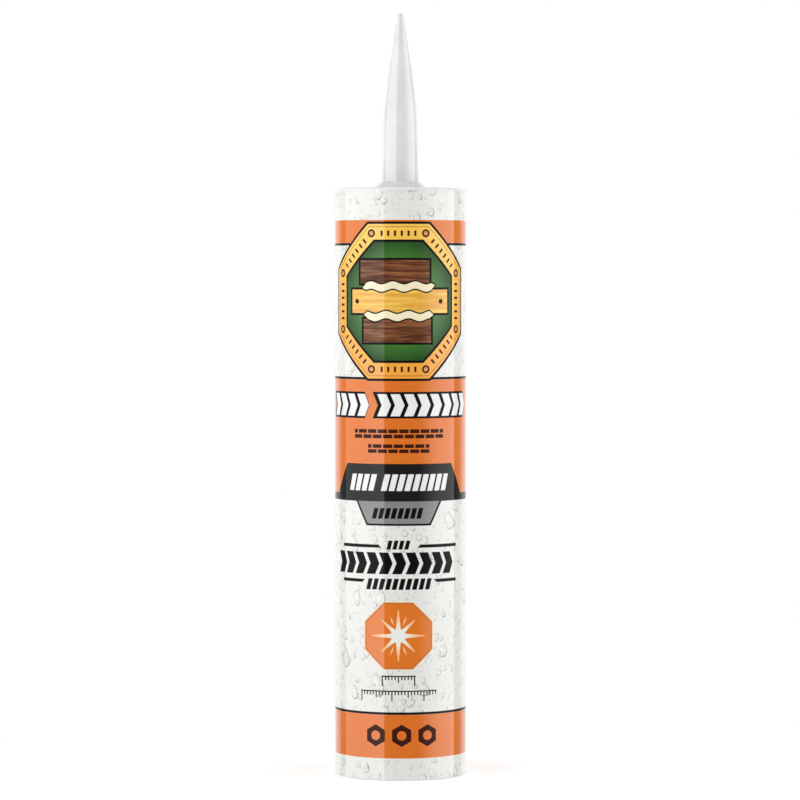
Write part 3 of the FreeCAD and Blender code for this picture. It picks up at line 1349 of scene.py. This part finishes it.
nozzle_outline = rounded(
    [(0, cone_top - CHANNEL_TIP_WALL)]
    + bellied(
        (CHANNEL_TIP_R, cone_top - CHANNEL_TIP_WALL),
        (socket_r - CHANNEL_SEAT - CHANNEL_TAPER, shank_top),
        CONE_BELLY,
        CHANNEL_POINTS,
    )
    + [
        (socket_r - CHANNEL_SEAT, socket_top, FINE_ROUND),
        (socket_r, socket_top, FINE_ROUND),
        (socket_r, seat_z, FOOT_ROUND),
        (base_r, seat_z, FOOT_ROUND),
        (base_r, seat_z + RECESS_DEPTH, RECESS_ROUND),
        (collar_r - RECESS_WALL, seat_z + RECESS_DEPTH, RECESS_ROUND),
        (collar_r - RECESS_WALL, seat_z, FOOT_ROUND),
        (collar_r, seat_z, FOOT_ROUND),
        (collar_r, seat_z + COLLAR_EDGE, RIM_ROUND),
        (collar_r - COLLAR_SLOPE_IN, slope_top, SLOPE_ROUND),
        (base_r, slope_top, FINE_ROUND),
    ]
    + bellied((base_r - SHANK_TAPER, shank_top), (TIP_R, cone_top), CONE_BELLY, CONE_POINTS)
    + [(TIP_ROUND, cone_top + TIP_STUB)]
    + quarter_round(TIP_ROUND, cone_top + TIP_STUB, TIP_POINTS)
)
print("nozzle outline has", len(nozzle_outline), "points")

# %% [markdown]
# Spinning the nozzle
#
# The nozzle is glossier than the barrel: its mould is polished, so the stripes of the softboxes
# are sharp on it. A thin coat over a smooth base gives that. Its collar's edges stay hard, and
# everything else is shaded smooth.

# %% Nozzle
NOZZLE_STEPS = 128
nozzle_plastic = moulded(
    "nozzle_plastic",
    pale=srgb(227, 228, 228),
    deep=srgb(219, 220, 221),
    roughness=0.04,
    peel=0.05,
    drift_scale=0.10,
    Coat_Weight=0.85,
    Coat_Roughness=0.03,
)
nozzle_bm = spun(nozzle_outline, NOZZLE_STEPS)
spout = finished("tapered_nozzle", nozzle_bm, "nozzle", nozzle_plastic)
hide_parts("nozzle")
sharpened(spout, 40)

# %% [markdown]
# The neck's thread
#
# The nozzle screws on a coarse thread round the neck. A thread is a small sloped profile carried
# round and up at once, which is what spin does when it is also given a rise for each step. At both
# ends the ridge sinks into the neck, as a moulded thread runs out. The nozzle's socket is wide
# enough to clear the ridge.

# %% Neck thread
NECK_CHAMFER = 0.4 * MM
THREAD_PITCH = 2.5 * MM
THREAD_TURNS = 3.4
THREAD_STEPS = 48
THREAD_SINK = 0.06 * MM
THREAD_PROUD = 0.55 * MM
THREAD_ROOT_HALF = 0.75 * MM
THREAD_CREST_HALF = 0.22 * MM
THREAD_RUNOUT = 1.6 * MM
THREAD_START = 2.6 * MM
neck_r = seal_high[0] + NECK_CHAMFER
thread_foot = seat_z + THREAD_START


def thread():
    """A helical ridge from near the shoulder to just below the neck's mouth."""
    bm = bmesh.new()
    root = neck_r - THREAD_SINK
    crest = neck_r + THREAD_PROUD
    profile = (
        (root, -THREAD_ROOT_HALF),
        (crest, -THREAD_CREST_HALF),
        (crest, THREAD_CREST_HALF),
        (root, THREAD_ROOT_HALF),
    )
    corners = [bm.verts.new((r, 0, thread_foot + z)) for r, z in profile]
    start = bm.faces.new(corners)
    steps = round(THREAD_STEPS * THREAD_TURNS)
    bmesh.ops.spin(
        bm,
        geom=[start] + list(start.edges) + corners,
        cent=(0, 0, 0),
        axis=(0, 0, 1),
        dvec=(0, 0, THREAD_PITCH * THREAD_TURNS / steps),
        angle=math.tau * THREAD_TURNS,
        steps=steps,
    )
    lowest = thread_foot - THREAD_ROOT_HALF
    highest = thread_foot + THREAD_PITCH * THREAD_TURNS + THREAD_ROOT_HALF
    for vert in bm.verts:
        run = min(vert.co.z - lowest, highest - vert.co.z) / THREAD_RUNOUT
        reach = math.hypot(vert.co.x, vert.co.y)
        eased = root + (reach - root) * min(max(run, 0.0), 1.0)
        vert.co.x *= eased / reach
        vert.co.y *= eased / reach
    bmesh.ops.recalc_face_normals(bm, faces=bm.faces)
    return bm


ridge = finished("neck_thread", thread(), "barrel", barrel_plastic)
sharpened(ridge, 40)

# %% [markdown]
# The foil seal
#
# A disc of aluminium foil is welded over the neck's mouth. The weld leaves a shallow ring near the
# edge, and the foil inside it lies slightly slack. The ring is in the outline, and the fine
# crinkles are bump, because they are thinner than the foil is thick.

# %% Foil seal
WELD_DEPTH = 0.05 * MM
FOIL_ROUND = 0.1 * MM
SEAL_STEPS = 96
seal_r = seal_high[0]
seal_foot = seal_low[2]
seal_top = seal_high[2]
seal_outline = rounded([
    (0, seal_foot),
    (seal_r, seal_foot),
    (seal_r, seal_top, WELD_DEPTH),
    (seal_r * 0.93, seal_top, FOIL_ROUND),
    (seal_r * 0.90, seal_top - WELD_DEPTH, FOIL_ROUND),
    (seal_r * 0.78, seal_top - WELD_DEPTH, FOIL_ROUND),
    (seal_r * 0.74, seal_top - WELD_DEPTH * 0.3, FOIL_ROUND),
    (0, seal_top - WELD_DEPTH * 0.6),
])
foil = Finish("seal_foil", Metallic=1.0)
foil_place = foil.place()[0]
crinkle = foil.noise(foil_place, 0.9, detail=4.0, roughness=0.65)
foil.feed("Base Color", foil.mix(crinkle, srgb(196, 198, 202), srgb(226, 228, 230)))
foil.feed("Roughness", foil.noise(foil_place, 3.0) * 0.15 + 0.22)
foil.bump(crinkle, distance=0.1 * MM, strength=0.8)
seal_bm = spun(seal_outline, SEAL_STEPS)
seal = finished("foil_seal", seal_bm, "barrel", foil)
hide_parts("neck_seal")
sharpened(seal)

# %% [markdown]
# The adhesive
#
# The paste fills the bore from the piston to the seal. It is a turned shape too, with the rounded
# corner that the shoulder's inside gives it. It is clear when it has dried and hazy in the tube.

# %% Adhesive
SHOULDER_EDGE = 1.0 * MM
SHOULDER_THICKNESS = 2.4 * MM
BORE_CORNER = 1.5 * MM
NECK_BORE_R = 3.5 * MM
FILL_GAP = 0.3 * MM
PISTON_CHAMFER = 2.2 * MM
PASTE_ROUND = 0.2 * MM
NECK_ROUND = 0.4 * MM
PASTE_STEPS = 96
bore_r = paste_high[0]
shoulder_inside = film_top + SHOULDER_EDGE - SHOULDER_THICKNESS
paste_front = piston_high[2] + FILL_GAP
paste_outline = rounded([
    (0, paste_front),
    (piston_high[0] - PISTON_CHAMFER, paste_front),
    (bore_r, paste_low[2], PASTE_ROUND),
    (bore_r, shoulder_inside, BORE_CORNER),
    (NECK_BORE_R, shoulder_inside, NECK_ROUND),
    (NECK_BORE_R, seal_foot),
    (0, seal_foot),
])
paste = Finish("adhesive_paste", IOR=1.48, Coat_Weight=0.4)
paste_place = paste.place()[0]
haze = paste.noise(paste_place, 0.06, detail=3.0)
paste.feed("Base Color", paste.mix(haze, srgb(206, 208, 198), srgb(226, 227, 219)))
paste.feed("Roughness", paste.noise(paste_place, 0.2) * 0.15 + 0.12)
paste.bump(haze, distance=0.4 * MM, strength=0.5)
paste_bm = spun(paste_outline, PASTE_STEPS)
fill = finished("adhesive_fill", paste_bm, "barrel", paste)
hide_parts("adhesive")
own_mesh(fill)
